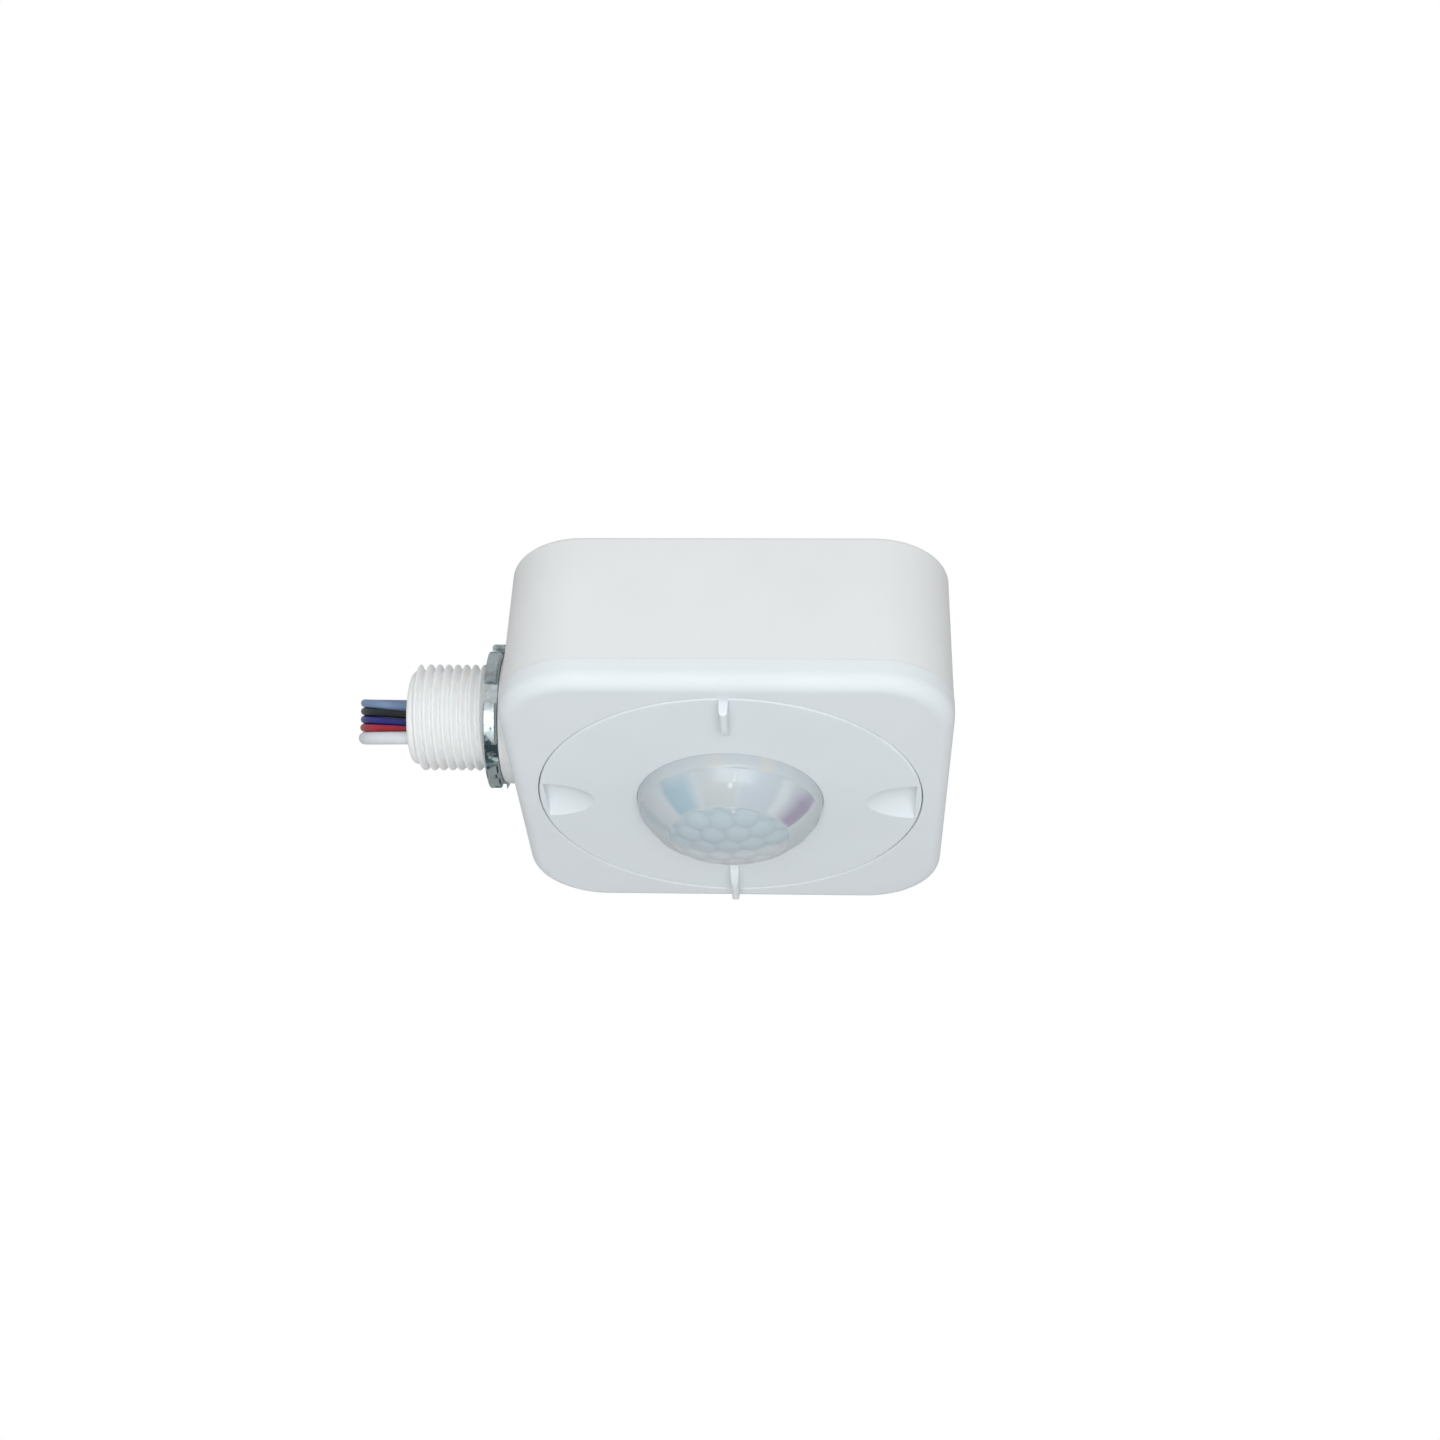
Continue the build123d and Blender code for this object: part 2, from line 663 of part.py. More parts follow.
def tube(path, diameter):
    section = Plane(origin=path @ 0, z_dir=path % 0) * Circle(diameter / 2)
    return sweep(section, path=path)


def build_lead(i):
    path, runs, radii = route_wire(lead_route(i))
    lead = tube(path, lead_diameters[i])
    wanted = pi / 4 * lead_diameters[i] ** 2 * path.length
    print(lead_names[i], "length", round(path.length, 1), "volume ratio",
          round(lead.volume / wanted, 4), "radii", [round(r, 1) for r in radii],
          "runs", [round(r, 1) for r in runs])
    return lead, path


def build_conductor(path, diameter):
    """The stripped strands beyond the insulation."""
    core = Cylinder(conductor_ratio * diameter / 2, stripped_length,
                    align=(Align.CENTER, Align.CENTER, Align.MIN))
    return core.moved(Location(Plane(origin=path @ 1, z_dir=path % 1)))


def build_lead_seal():
    start = -lead_seal_face - lead_seal_length
    return along_nipple(disc(nipple_bore_radius - 0.02, lead_seal_length).moved(
        Location((0, 0, start))))


def build_lead_tails():
    """The same leads inside the housing, from the potting to the power board."""
    tails = []
    inner_face = lead_seal_face + lead_seal_length
    pad_z = face_z + power_board_level - 0.05
    for i, diameter in enumerate(lead_diameters):
        y0, z0 = across(lead_rise[i], lead_back[i])
        pad_x = 14.0 + 2.4 * i
        points = [(inner_face, y0, z0), (pad_x, y0, z0), (pad_x, y0, pad_z)]
        bend = min(4.0, 0.8 * (pad_z - z0))
        tails.append(tube(FilletPolyline(*points, radius=bend), diameter))
    return tails


# ---------------------------------------------------------------- write the nodes
def save(name, shapes):
    os.makedirs("parts", exist_ok=True)
    solids = []
    for shape in (shapes if isinstance(shapes, list) else [shapes]):
        solids.extend(shape.solids())
    part = solids[0] if len(solids) == 1 else Compound(children=solids)
    export_step(part, f"parts/{name}.step")


def main():
    save("rear_housing", build_rear_housing())
    save("front_cover", build_front_cover())
    save("cover_gasket", build_cover_gasket())
    save("housing_screws", build_housing_screws())
    save("sealing_washer", build_sealing_washer())
    save("locknut", build_locknut())
    save("lens_bezel", build_lens_bezel())
    save("fresnel_lens", build_fresnel_lens())
    save("lens_retainer", build_lens_retainer())
    save("bezel_o_ring", build_bezel_o_ring())
    save("control_plate", build_control_plate())
    save("sensor_board", build_sensor_board())
    save("pyro_can", build_pyro_can())
    save("pyro_window", build_pyro_window())
    save("photocell", build_photocell())
    save("status_led", build_status_led())
    save("dip_body", build_dip_body())
    for i in range(dip_positions):
        save(f"dip_slider_{i + 1}", build_dip_slider(i))
    save("trimmer_body", build_trimmer_body())
    save("trimmer_rotor", build_trimmer_rotor())
    save("button_body", build_button_body())
    save("button_plunger", build_button_plunger())
    save("signal_chip", build_signal_chip())
    save("header_body", build_header_body())
    save("header_pins", build_header_pins())
    save("power_board", build_power_board())
    save("power_board_screws", build_power_board_screws())
    save("relay", build_relay())
    save("film_capacitor", build_film_capacitor())
    save("smoothing_capacitors", build_smoothing_capacitors())
    save("choke_core", build_choke_core())
    save("choke_winding", build_choke_winding())
    save("surge_varistor", build_surge_varistor())
    save("fuse_link", build_fuse_link())
    save("lead_seal", build_lead_seal())
    save("lead_tails", build_lead_tails())
    conductors = []
    for i, name in enumerate(lead_names):
        lead, path = build_lead(i)
        save(f"lead_{name}", lead)
        conductors.append(build_conductor(path, lead_diameters[i]))
    save("lead_conductors", conductors)


main()
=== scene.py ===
"""Looks of the fixture-mount infrared motion sensor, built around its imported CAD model.

The scene is in metres, +Z up. The nipple points to -X and the lens faces -Z. The origin is on
the nipple's axis, where the nipple meets its shoulder. Sizes in the tables are in mm unless their
name says otherwise.
"""
import json
import math

import bmesh
import bpy
from mathutils import Matrix, Vector


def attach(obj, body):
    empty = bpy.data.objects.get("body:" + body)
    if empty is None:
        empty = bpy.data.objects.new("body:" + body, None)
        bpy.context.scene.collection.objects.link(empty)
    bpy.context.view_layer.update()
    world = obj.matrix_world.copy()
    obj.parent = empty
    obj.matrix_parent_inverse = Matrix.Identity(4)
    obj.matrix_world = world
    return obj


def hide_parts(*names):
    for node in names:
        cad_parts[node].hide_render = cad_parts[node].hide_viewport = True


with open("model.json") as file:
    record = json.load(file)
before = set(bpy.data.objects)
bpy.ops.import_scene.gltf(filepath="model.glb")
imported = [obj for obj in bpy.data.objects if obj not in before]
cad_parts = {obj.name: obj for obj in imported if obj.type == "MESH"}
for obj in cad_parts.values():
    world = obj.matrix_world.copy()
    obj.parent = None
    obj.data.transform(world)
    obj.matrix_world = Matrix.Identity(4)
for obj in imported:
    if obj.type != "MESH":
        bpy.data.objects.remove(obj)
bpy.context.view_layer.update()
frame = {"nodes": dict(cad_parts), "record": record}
nodes = frame["nodes"]
MM = 0.001


# ---------------------------------------------------------------- camera
CAMERA_AZIMUTH, CAMERA_ELEVATION, CAMERA_ROLL = -3.279, -31.595, 2.063    # degrees
CAMERA_DISTANCE = 416.99
CAMERA_TARGET = (42.136, 0.0, -0.23)
SENSOR_WIDTH = 36.0
FOCAL_LENGTH = 52.135


def add_camera():
    azimuth = math.radians(CAMERA_AZIMUTH)
    elevation = math.radians(CAMERA_ELEVATION)
    roll = math.radians(CAMERA_ROLL)
    ahead = Vector((math.sin(azimuth) * math.cos(elevation),
                    math.cos(azimuth) * math.cos(elevation), -math.sin(elevation)))
    level = ahead.cross(Vector((0, 0, 1))).normalized()
    upright = level.cross(ahead)
    right = level * math.cos(roll) + upright * math.sin(roll)
    up = upright * math.cos(roll) - level * math.sin(roll)
    data = bpy.data.cameras.new("camera")
    data.sensor_width = SENSOR_WIDTH
    data.lens = FOCAL_LENGTH
    data.clip_start = 0.01
    data.clip_end = 20.0
    camera = bpy.data.objects.new("camera", data)
    place = Vector(CAMERA_TARGET) * MM - ahead * CAMERA_DISTANCE * MM
    turn = Matrix((right, up, -ahead)).transposed().to_4x4()
    camera.matrix_world = Matrix.Translation(place) @ turn
    bpy.context.scene.collection.objects.link(camera)
    bpy.context.scene.camera = camera


add_camera()


# ---------------------------------------------------------------- material helpers
def new_material(name):
    material = bpy.data.materials.new(name)
    material.use_nodes = True
    tree = material.node_tree
    shader = tree.nodes["Principled BSDF"]
    return material, tree, shader


def object_coordinates(tree):
    """Metres in the part's own frame, in which every piece lies."""
    return tree.nodes.new("ShaderNodeTexCoord").outputs["Object"]


def axis(tree, vector, name):
    """One of the X, Y and Z values of a vector socket."""
    parts = tree.nodes.new("ShaderNodeSeparateXYZ")
    tree.links.new(vector, parts.inputs["Vector"])
    return parts.outputs[name]


def noise(tree, vector, scale, detail=2.0, roughness=0.5):
    node = tree.nodes.new("ShaderNodeTexNoise")
    node.inputs["Scale"].default_value = scale
    node.inputs["Detail"].default_value = detail
    node.inputs["Roughness"].default_value = roughness
    tree.links.new(vector, node.inputs["Vector"])
    return node.outputs["Fac"]


def remap(tree, value, low, high, to_low, to_high):
    node = tree.nodes.new("ShaderNodeMapRange")
    node.inputs["From Min"].default_value = low
    node.inputs["From Max"].default_value = high
    node.inputs["To Min"].default_value = to_low
    node.inputs["To Max"].default_value = to_high
    tree.links.new(value, node.inputs["Value"])
    return node.outputs["Result"]


def mix_colors(tree, factor, first, second, blend="MIX"):
    """Mix two colours, each a tuple or a socket, by a number or a socket."""
    node = tree.nodes.new("ShaderNodeMix")
    node.data_type = "RGBA"
    node.blend_type = blend
    if isinstance(factor, float):
        node.inputs["Factor"].default_value = factor
    else:
        tree.links.new(factor, node.inputs["Factor"])
    for socket, color in ((node.inputs[6], first), (node.inputs[7], second)):
        if isinstance(color, tuple):
            socket.default_value = (*color, 1.0)
        else:
            tree.links.new(color, socket)
    return node.outputs[2]


def color_ramp(tree, value, stops):
    """Colours blended between (position, colour) stops."""
    node = tree.nodes.new("ShaderNodeValToRGB")
    elements = node.color_ramp.elements
    ends = ((elements[0], stops[0]), (elements[1], stops[-1]))
    for element, (position, color) in ends:
        element.position = position
        element.color = (*color, 1.0)
    for position, color in stops[1:-1]:
        elements.new(position).color = (*color, 1.0)
    tree.links.new(value, node.inputs["Fac"])
    return node.outputs["Color"]


def bump(tree, shader, heights):
    """Chain bumps, given as (height socket, strength, distance in metres)."""
    normal = None
    for height, strength, distance in heights:
        node = tree.nodes.new("ShaderNodeBump")
        node.inputs["Strength"].default_value = strength
        node.inputs["Distance"].default_value = distance
        tree.links.new(height, node.inputs["Height"])
        if normal is not None:
            tree.links.new(normal, node.inputs["Normal"])
        normal = node.outputs["Normal"]
    tree.links.new(normal, shader.inputs["Normal"])


def scatter(shader, radius, scale):
    """Soften the shading by light carried under the surface, scale in metres."""
    shader.inputs["Subsurface Radius"].default_value = radius
    shader.inputs["Subsurface Scale"].default_value = scale


def moulded(name, color, shade, roughness=(0.36, 0.46), grain=0.10, depth=0.4, glow=0.0,
            specular=0.5):
    """Moulded plastic: a fine spark-eroded grain (mm), slow colour drift and uneven gloss."""
    material, tree, shader = new_material(name)
    vector = object_coordinates(tree)
    slow = noise(tree, vector, 45.0, 3.0)
    drift = remap(tree, slow, 0.35, 0.65, 0.0, 1.0)
    tree.links.new(mix_colors(tree, drift, color, shade), shader.inputs["Base Color"])
    medium = noise(tree, vector, 300.0, 4.0)
    tree.links.new(remap(tree, medium, 0.3, 0.7, *roughness), shader.inputs["Roughness"])
    fine = noise(tree, vector, 1.0 / (grain * MM), 2.0)
    flow = noise(tree, vector, 90.0, 2.0)
    bump(tree, shader, [(flow, 0.15, 0.00006), (fine, depth, 0.00001)])
    shader.inputs["Specular IOR Level"].default_value = specular
    if glow:
        shader.inputs["Subsurface Weight"].default_value = glow
        scatter(shader, (0.8, 0.9, 1.0), 0.0012)
    return material


def metal(name, color, shade, roughness=(0.2, 0.4), grain=0.25, depth=0.3):
    """Bare or plated metal with blotches and a fine grain (mm)."""
    material, tree, shader = new_material(name)
    vector = object_coordinates(tree)
    blotch = remap(tree, noise(tree, vector, 350.0, 4.0, 0.6), 0.3, 0.7, 0.0, 1.0)
    tree.links.new(mix_colors(tree, blotch, color, shade), shader.inputs["Base Color"])
    medium = noise(tree, vector, 800.0, 4.0)
    tree.links.new(remap(tree, medium, 0.3, 0.7, *roughness), shader.inputs["Roughness"])
    fine = noise(tree, vector, 1.0 / (grain * MM), 3.0)
    bump(tree, shader, [(fine, depth, 0.00003)])
    shader.inputs["Metallic"].default_value = 1.0
    return material


# ---------------------------------------------------------------- leads
FOLD_UP = math.radians(31.6)    # the leads fold back toward +Y along this slope
BACK_Z = 14.2                   # the housing's back, on which the leads lie
LEADS = {
    # name: (diameter, fold x, rise at the potting, rise in the fold, back, reach,
    #        rest y, swing, drop, tail)
    "gray": (1.65, -31.95, 1.4, 2.85, 2.0, 19.5, 15.5, -0.6, 28.5, 17.0),
    "black": (1.65, -31.95, -0.3, 1.17, 1.2, 21.4, 18.0, 0.0, 26.5, 14.5),
    "blue": (1.65, -31.95, -1.9, -0.51, 0.25, 23.5, 20.5, -0.4, 25.0, 12.0),
    "red": (1.65, -31.95, -2.85, -2.19, -1.15, 25.9, 23.0, 0.2, 22.5, 9.5),
    "white": (2.6, -31.6, -4.05, -4.36, -2.95, 29.2, 26.0, 0.3, 18.5, 6.5),
}
LEAD_COLORS = {
    "gray": ((0.22, 0.31, 0.49), (0.17, 0.25, 0.42)),
    "black": ((0.010, 0.014, 0.018), (0.004, 0.006, 0.008)),
    "blue": ((0.020, 0.020, 0.22), (0.012, 0.012, 0.15)),
    "red": ((0.42, 0.012, 0.030), (0.30, 0.006, 0.020)),
    "white": ((0.78, 0.80, 0.83), (0.68, 0.71, 0.75)),
}


def tilted(rise, back):
    """Y and Z of a place this far up from and back along the slope of the fold."""
    return (back * math.cos(FOLD_UP) - rise * math.sin(FOLD_UP),
            back * math.sin(FOLD_UP) + rise * math.cos(FOLD_UP))


def lead_route(diameter, fold_x, rise, fold_rise, back, reach, rest_y, swing, drop, tail):
    """Control points of a lead: out of the potting, back over the fold, over the housing's edge
    and across its back, where the leads fan out."""
    radius = diameter / 2
    start_y, start_z = tilted(rise, back)
    near_y, near_z = tilted(fold_rise, back)
    far_y, far_z = tilted(fold_rise, back + reach)
    rest_z = BACK_Z + radius + 0.06
    turned_y = rest_y - drop
    fan = rest_y - 20.5
    return [
        (-13.5, start_y, start_z),
        (fold_x, near_y, near_z),
        (fold_x, far_y, far_z),
        (-14.0, far_y, far_z),
        (-1.5, (far_y + rest_y) / 2, BACK_Z + 4.2 + radius),
        (14.0, rest_y, rest_z),
        (33.0 + 0.1 * fan, rest_y - 1.5 + swing, rest_z),
        (50.5 + 0.35 * fan, rest_y - 9.0 + swing, rest_z),
        (62.0 + 0.75 * fan, turned_y, rest_z),
        (64.5 + fan, turned_y - tail, rest_z),
    ]


def insulation(name, color, shade):
    """Extruded PVC: glossy along its length, with faint draw marks and scuffs."""
    material, tree, shader = new_material(name)
    vector = object_coordinates(tree)
    drift = remap(tree, noise(tree, vector, 120.0, 3.0), 0.35, 0.65, 0.0, 1.0)
    tree.links.new(mix_colors(tree, drift, color, shade), shader.inputs["Base Color"])
    tree.links.new(remap(tree, noise(tree, vector, 900.0, 4.0), 0.3, 0.7, 0.28, 0.42),
                   shader.inputs["Roughness"])
    bump(tree, shader, [(noise(tree, vector, 700.0, 2.0), 0.25, 0.00004),
                        (noise(tree, vector, 5000.0, 2.0), 0.2, 0.00001)])
    return material


def add_leads():
    for name, values in LEADS.items():
        diameter = values[0]
        route = lead_route(*values)
        data = bpy.data.curves.new(f"lead_{name}_cord", "CURVE")
        data.dimensions = "3D"
        data.bevel_depth = diameter / 2 * MM
        data.bevel_resolution = 6
        data.resolution_u = 14
        data.use_fill_caps = True
        spline = data.splines.new("NURBS")
        spline.points.add(len(route) - 1)
        for point, place in zip(spline.points, route):
            point.co = (*(Vector(place) * MM), 1.0)
        spline.order_u = 3
        spline.use_endpoint_u = True
        data.materials.append(insulation(f"pvc_{name}", *LEAD_COLORS[name]))
        cord = bpy.data.objects.new(f"lead_{name}_cord", data)
        bpy.context.scene.collection.objects.link(cord)
        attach(cord, "housing")
        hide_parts(f"lead_{name}")


add_leads()


# ---------------------------------------------------------------- lens
LENS_X, FACE_Z = 44.7, -18.8
DOME_RADIUS, DOME_HEIGHT, DOME_WALL = 18.15, 10.5, 0.8
CAP_RADIUS, BAND_RADIUS = 11.6, 17.55
LENS_TURN = math.radians(-8.0)
CELL_PITCH, CELL_CURVE, CELL_EDGE = 4.8, 0.042, 2.6
PANEL_COUNT, PANEL_PHASE = 12, 21.5    # the phase in degrees
PANEL_CURVE, PANEL_DEPTH, BAND_DEPTH = 0.012, 0.10, 0.04
LENS_SEGMENTS = 288
FLANGE = ((18.15, 0.05), (18.15, 1.0), (18.15, 1.85), (18.3, 1.9), (20.7, 1.9), (20.8, 2.0),
          (20.8, 2.8), (20.7, 2.9), (17.4, 2.9))    # radius and height above the face
GLINTS = ((0.7, -15.4, 0.55, 0.5), (1.2, -10.6, 0.45, 0.4),
          (1.5, -16.1, 0.35, 0.4))    # x and y from the middle, size, strength
# painted reflections on the cap, cool toward -Y and warm toward +Y
COOL_CAP_REFLECTION, WARM_CAP_REFLECTION = Vector((0.91, 0.98, 1.01)), Vector((1.17, 1.14, 1.14))
PAINTED_PANEL_LIGHT = (
    # painted refractions and highlights on the side panels: colour, from and to in degrees,
    # softness of either end, depth
    ((0.70, 0.86, 0.93), -140.0, -111.0, 3.0, 10.0, 1.0),
    ((0.66, 0.56, 0.70), -43.0, -17.0, 14.0, 0.8, 1.0),
    ((0.82, 0.90, 0.92), -178.0, -160.0, 4.0, 6.0, 0.8),
    ((0.95, 0.96, 1.0), -81.0, -52.0, 3.0, 2.0, 1.0),
    ((1.08, 1.08, 1.08), -53.0, -42.0, 4.0, 4.0, 0.8),
    ((0.97, 0.95, 0.92), -111.0, -82.0, 4.0, 3.0, 0.8),
)
# painted warm reflections of the lamps in the rim band
PAINTED_BAND_REFLECTIONS = ((-97.0, 9.0), (-65.0, 8.0))    # middle and half width in degrees
PAINTED_BAND_REFLECTION_COLOR = Vector((1.10, 1.02, 0.93))


def cell_distance(x, y):
    """How far a place on the cap is from the centre of its hexagonal cell."""
    a = x * math.cos(LENS_TURN) + y * math.sin(LENS_TURN)
    b = y * math.cos(LENS_TURN) - x * math.sin(LENS_TURN)
    row_height = CELL_PITCH * math.sqrt(0.75)
    nearest = CELL_PITCH
    row = round(b / row_height)
    for j in (row - 1, row, row + 1):
        shift = 0.5 * (j % 2)
        i = round(a / CELL_PITCH - shift)
        nearest = min(nearest, math.hypot(a - (i + shift) * CELL_PITCH, b - j * row_height))
    return nearest


def panel_offset(angle):
    """Degrees from the middle of the side panel that this angle falls in."""
    width = 360 / PANEL_COUNT
    return (math.degrees(angle) + PANEL_PHASE) % width - width / 2


def dome_point(slope, wall=0.0):
    """Radius and height at this angle round the dome's elliptical section, tip at 90."""
    turn = math.radians(slope)
    return (DOME_RADIUS - wall) * math.cos(turn), (wall - DOME_HEIGHT) * math.sin(turn)


def lens_relief(radius, angle):
    """How far the lens's face lies inside its dome: cells, panels and the rim band."""
    if radius <= CAP_RADIUS:
        place = cell_distance(radius * math.cos(angle), radius * math.sin(angle))
        return CELL_CURVE * place ** 2
    if radius < BAND_RADIUS:
        across_panel = radius * math.radians(panel_offset(angle))
        return PANEL_DEPTH + PANEL_CURVE * across_panel ** 2
    return BAND_DEPTH


def clamp(value):
    return min(max(value, 0.0), 1.0)


def inside(value, low, high, soft_low, soft_high):
    """1 between low and high, falling to 0 at the ends over the soft widths."""
    return clamp((value - low) / soft_low) * clamp((high - value) / soft_high)


def cap_painted_light(x, y):
    """The cap: painted shade along the cells' edges and painted reflections, cool toward -Y and
    warm toward +Y.
    """
    edge = cell_distance(x, y) / CELL_EDGE
    shade = 1.0 - 0.07 * max(edge - 0.55, 0.0) / 0.45
    return list(shade * COOL_CAP_REFLECTION.lerp(WARM_CAP_REFLECTION, clamp((y - 0.5) / 3.0)))


def lens_painted_light(radius, angle):
    """Painted light that multiplies the milky wall: painted glints, painted shade and reflections
    on the cap, painted refractions and highlights on the panels and painted reflections in the
    rim band.
    """
    x, y = radius * math.cos(angle), radius * math.sin(angle)
    for glint_x, glint_y, size, strength in GLINTS:
        distance = math.hypot(x - glint_x, y - glint_y)
        if distance < size:
            return [1.0 + strength * (1.0 - distance / size)] * 3
    if radius <= CAP_RADIUS:
        return cap_painted_light(x, y)
    turn = math.degrees(angle)
    color = Vector((1.0, 1.0, 1.0))
    tall = inside(radius, CAP_RADIUS, BAND_RADIUS, 0.6, 0.5)
    for painted_light, low, high, soft_low, soft_high, depth in PAINTED_PANEL_LIGHT:
        weight = tall * depth * inside(turn, low, high, soft_low, soft_high)
        color = color.lerp(Vector(painted_light), weight)
    band = inside(radius, BAND_RADIUS - 0.1, DOME_RADIUS + 1.0, 0.1, 0.2)
    for middle, half in PAINTED_BAND_REFLECTIONS:
        color = color.lerp(PAINTED_BAND_REFLECTION_COLOR, band * max(0.0, 1.0 - abs(turn - middle) / half))
    return list(color)


def lens_rings():
    """(radius, height, has relief) of each ring: the cap, its edge, the sides, the rim band, the
    flange behind the bezel and the inner wall."""
    slopes = [90.0 - 1.1 * k for k in range(1, 36)]
    slopes += [50.9, 50.3, 50.1, 49.7, 49.0]
    slopes += [48.0 - 1.3 * k for k in range(17)]
    slopes += [15.6, 14.9, 14.2, 11.0, 7.0, 3.5, 1.0]
    rings = [(*dome_point(slope), True) for slope in slopes]
    rings += [(radius, height, False) for radius, height in FLANGE]
    rings += [(*dome_point(5.0 * k, DOME_WALL), False) for k in range(18)]
    return rings


def lens_mesh():
    """The moulded dome: a cap of small lens cells inside a ring of tall side panels."""
    shape = bmesh.new()

    def vertex(radius, height, relief, angle):
        if relief:
            inward = Vector((-radius / DOME_RADIUS ** 2, -height / DOME_HEIGHT ** 2))
            step = inward.normalized() * lens_relief(radius, angle)
            radius, height = radius + step.x, height + step.y
        return shape.verts.new(((LENS_X + radius * math.cos(angle)) * MM,
                                radius * math.sin(angle) * MM, (FACE_Z + height) * MM))

    tip = shape.verts.new((LENS_X * MM, 0.0, (FACE_Z - DOME_HEIGHT) * MM))
    inner_tip = shape.verts.new((LENS_X * MM, 0.0, (FACE_Z - DOME_HEIGHT + DOME_WALL) * MM))
    loops = []
    for ring in lens_rings():
        loops.append([vertex(*ring, 2 * math.pi * k / LENS_SEGMENTS)
                      for k in range(LENS_SEGMENTS)])
    for k in range(LENS_SEGMENTS):
        following = (k + 1) % LENS_SEGMENTS
        shape.faces.new((tip, loops[0][following], loops[0][k]))
        shape.faces.new((inner_tip, loops[-1][k], loops[-1][following]))
        for low, high in zip(loops, loops[1:]):
            shape.faces.new((low[k], low[following], high[following], high[k]))
    bmesh.ops.recalc_face_normals(shape, faces=shape.faces[:])
    for face in shape.faces:
        face.smooth = True
    mesh = bpy.data.meshes.new("fresnel_lens_dome")
    shape.to_mesh(mesh)
    shape.free()
    return mesh


def add_lens():
    mesh = lens_mesh()
    # painted light: glints, reflections, refractions and shade stored per vertex
    painted_light = mesh.color_attributes.new("painted_light", "FLOAT_COLOR", "POINT")
    for point, value in zip(mesh.vertices, painted_light.data):
        x, y = point.co.x / MM - LENS_X, point.co.y / MM
        value.color = (*lens_painted_light(math.hypot(x, y), math.atan2(y, x)), 1.0)
    lens = bpy.data.objects.new("fresnel_lens_dome", mesh)
    mesh.materials.append(lens_material())
    bpy.context.scene.collection.objects.link(lens)
    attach(lens, "bezel")
    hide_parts("fresnel_lens")


def lens_material():
    """Milky polyethylene, glossy outside, multiplied by the mesh's painted light: painted glints,
    reflections, refractions and shade.
    """
    material, tree, shader = new_material("lens_polyethylene")
    vector = object_coordinates(tree)
    drift = remap(tree, noise(tree, vector, 90.0, 3.0), 0.2, 0.8, 0.0, 1.0)
    milk = mix_colors(tree, drift, (0.57, 0.61, 0.63), (0.54, 0.58, 0.61))
    painted_light = tree.nodes.new("ShaderNodeAttribute")
    painted_light.attribute_name = "painted_light"
    tree.links.new(mix_colors(tree, 1.0, milk, painted_light.outputs["Color"], "MULTIPLY"),
                   shader.inputs["Base Color"])
    tree.links.new(remap(tree, noise(tree, vector, 500.0, 3.0), 0.2, 0.8, 0.30, 0.38),
                   shader.inputs["Roughness"])
    bump(tree, shader, [(noise(tree, vector, 250.0, 0.0), 0.1, 0.00002)])
    shader.inputs["Subsurface Weight"].default_value = 0.15
    scatter(shader, (0.9, 0.95, 1.0), 0.0006)
    return material


add_lens()


# ---------------------------------------------------------------- floor, light and sky
SKY = ((0.0, (0.60, 0.64, 0.67)), (0.5, (0.56, 0.58, 0.59)), (1.0, (0.56, 0.56, 0.56)))
FLOOR_PLACE, FLOOR_SIZE = (0.04, 0.0, -0.60), 8.0    # metres
LIGHT_TARGET = (0.04, 0.0, 0.0)                      # metres


def add_world():
    """A white backdrop, while the object is lit by a dimmer sky."""
    world = bpy.data.worlds.new("studio")
    bpy.context.scene.world = world
    world.use_nodes = True
    tree = world.node_tree
    backdrop = tree.nodes["Background"]
    backdrop.inputs["Color"].default_value = (1.0, 1.0, 1.0, 1.0)
    lighting = tree.nodes.new("ShaderNodeBackground")
    lighting.inputs["Strength"].default_value = 1.0
    place = tree.nodes.new("ShaderNodeTexCoord")
    height = remap(tree, axis(tree, place.outputs["Generated"], "Z"), -1.0, 1.0, 0.0, 1.0)
    tree.links.new(color_ramp(tree, height, SKY), lighting.inputs["Color"])
    rays = tree.nodes.new("ShaderNodeLightPath")
    choice = tree.nodes.new("ShaderNodeMixShader")
    tree.links.new(rays.outputs["Is Camera Ray"], choice.inputs["Fac"])
    tree.links.new(lighting.outputs["Background"], choice.inputs[1])
    tree.links.new(backdrop.outputs["Background"], choice.inputs[2])
    tree.links.new(choice.outputs["Shader"], tree.nodes["World Output"].inputs["Surface"])
    bpy.context.scene.view_settings.view_transform = "Standard"


def add_floor():
    mesh = bpy.data.meshes.new("floor")
    shape = bmesh.new()
    bmesh.ops.create_grid(shape, x_segments=8, y_segments=8, size=FLOOR_SIZE)
    shape.to_mesh(mesh)
    shape.free()
    floor = bpy.data.objects.new("floor", mesh)
    floor.location = FLOOR_PLACE
    material, tree, shader = new_material("floor_paper")
    drift = remap(tree, noise(tree, object_coordinates(tree), 6.0), 0.3, 0.7, 0.0, 1.0)
    tree.links.new(mix_colors(tree, drift, (0.86, 0.86, 0.86), (0.82, 0.82, 0.82)),
                   shader.inputs["Base Color"])
    shader.inputs["Roughness"].default_value = 0.9
    mesh.materials.append(material)
    bpy.context.scene.collection.objects.link(floor)


def add_light(name, place, size, power, color):
    """A rectangular lamp aimed at the object."""
    data = bpy.data.lights.new(name, "AREA")
    data.shape = "RECTANGLE"
    data.size, data.size_y = size
    data.energy = power
    data.color = color
    light = bpy.data.objects.new(name, data)
    light.location = place
    direction = Vector(LIGHT_TARGET) - Vector(place)
    light.rotation_mode = "QUATERNION"
    light.rotation_quaternion = direction.to_track_quat("-Z", "Y")
    bpy.context.scene.collection.objects.link(light)


add_world()
add_floor()
add_light("key", (-0.10, -0.85, 0.20), (0.5, 0.4), 0.55, (1.0, 1.0, 1.0))
add_light("fill", (0.10, -0.55, -0.42), (0.5, 0.35), 2.6, (0.93, 0.98, 1.0))


